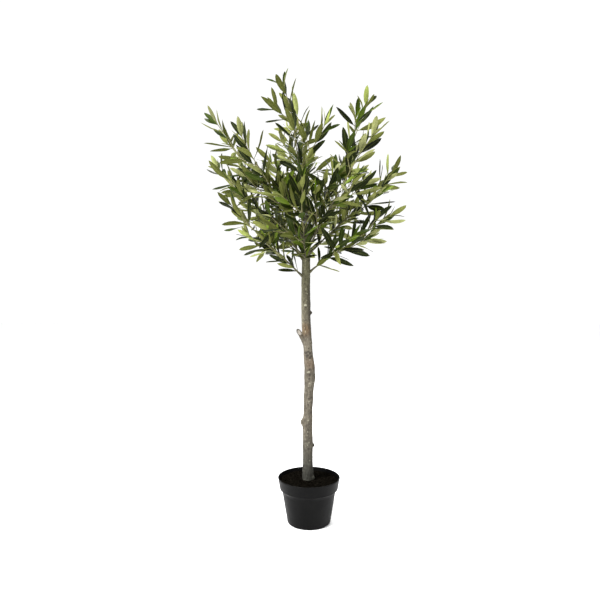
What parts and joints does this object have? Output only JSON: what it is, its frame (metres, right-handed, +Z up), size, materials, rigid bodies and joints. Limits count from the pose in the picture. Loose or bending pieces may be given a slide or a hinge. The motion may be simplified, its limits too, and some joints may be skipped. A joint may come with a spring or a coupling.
{
  "type": "potted olive tree",
  "caption": "Young standard olive tree in a round tapered nursery pot: bare knotty trunk, thin rising branches and a loose round head of leafy shoots.",
  "frame": {"origin": "centre of the pot's underside", "axes": "+Z up along the trunk, -Y towards the front, +X to the front's right"},
  "size_m": [0.5628, 0.5122, 1.1816],
  "materials": {
    "pot": "black moulded polypropylene, satin",
    "soil": "dark crumbly potting soil",
    "bark": "grey-brown young olive bark, matt",
    "leaf": "leathery olive leaf, dark and satin above, pale grey-green below"
  },
  "bodies": {
    "root": {"pot": "pot", "soil": "soil", "trunk": "bark", "branch_01": "bark", "branch_02": "bark", "branch_03": "bark", "branch_04": "bark", "branch_05": "bark", "branch_06": "bark", "branch_07": "bark", "branch_08": "bark", "branch_09": "bark", "branch_10": "bark", "branch_11": "bark", "branch_12": "bark", "branch_13": "bark", "branch_14": "bark", "branch_15": "bark", "shoot_01a": "leaf", "shoot_01b": "leaf", "shoot_01c": "leaf", "shoot_02a": "leaf", "shoot_02b": "leaf", "shoot_02c": "leaf", "shoot_03a": "leaf", "shoot_03b": "leaf", "shoot_04a": "leaf", "shoot_04b": "leaf", "shoot_05a": "leaf", "shoot_05b": "leaf", "shoot_05c": "leaf", "shoot_06a": "leaf", "shoot_06b": "leaf", "shoot_06c": "leaf", "shoot_07a": "leaf", "shoot_07b": "leaf", "shoot_07c": "leaf", "shoot_08a": "leaf", "shoot_08b": "leaf", "shoot_08c": "leaf", "shoot_09a": "leaf", "shoot_09b": "leaf", "shoot_09c": "leaf", "shoot_10a": "leaf", "shoot_10b": "leaf", "shoot_10c": "leaf", "shoot_11a": "leaf", "shoot_11b": "leaf", "shoot_11c": "leaf", "shoot_12a": "leaf", "shoot_12b": "leaf", "shoot_12c": "leaf", "shoot_13a": "leaf", "shoot_13b": "leaf", "shoot_13c": "leaf", "shoot_14a": "leaf", "shoot_14b": "leaf", "shoot_14c": "leaf", "shoot_15a": "leaf", "shoot_15b": "leaf"}
  },
  "joints": []
}
